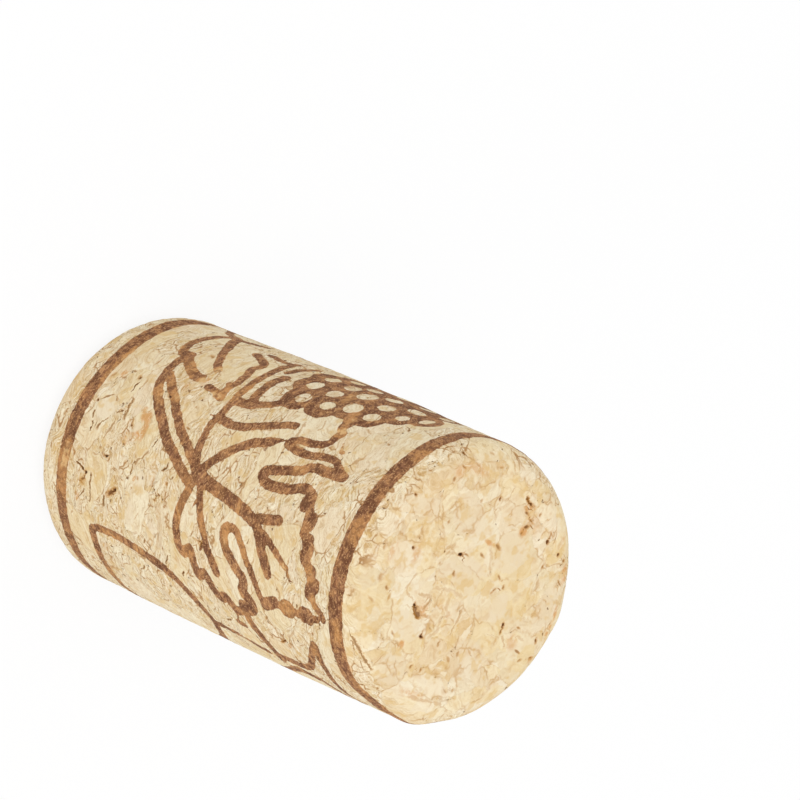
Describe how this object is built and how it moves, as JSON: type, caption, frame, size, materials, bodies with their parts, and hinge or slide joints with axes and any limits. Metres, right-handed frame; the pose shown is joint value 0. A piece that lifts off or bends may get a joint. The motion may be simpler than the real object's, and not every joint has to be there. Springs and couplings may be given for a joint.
{
  "type": "wine cork",
  "caption": "Straight agglomerated wine cork with rounded rims, printed round its side with a vine ornament between plain bands.",
  "frame": {"origin": "centre of the end face that the cork stands on", "axes": "+Z along the cork, from the end it stands on to the other end"},
  "size_m": [0.024, 0.024, 0.044],
  "materials": {
    "cork": "matte"
  },
  "bodies": {
    "root": {"cork": "cork"}
  },
  "joints": []
}
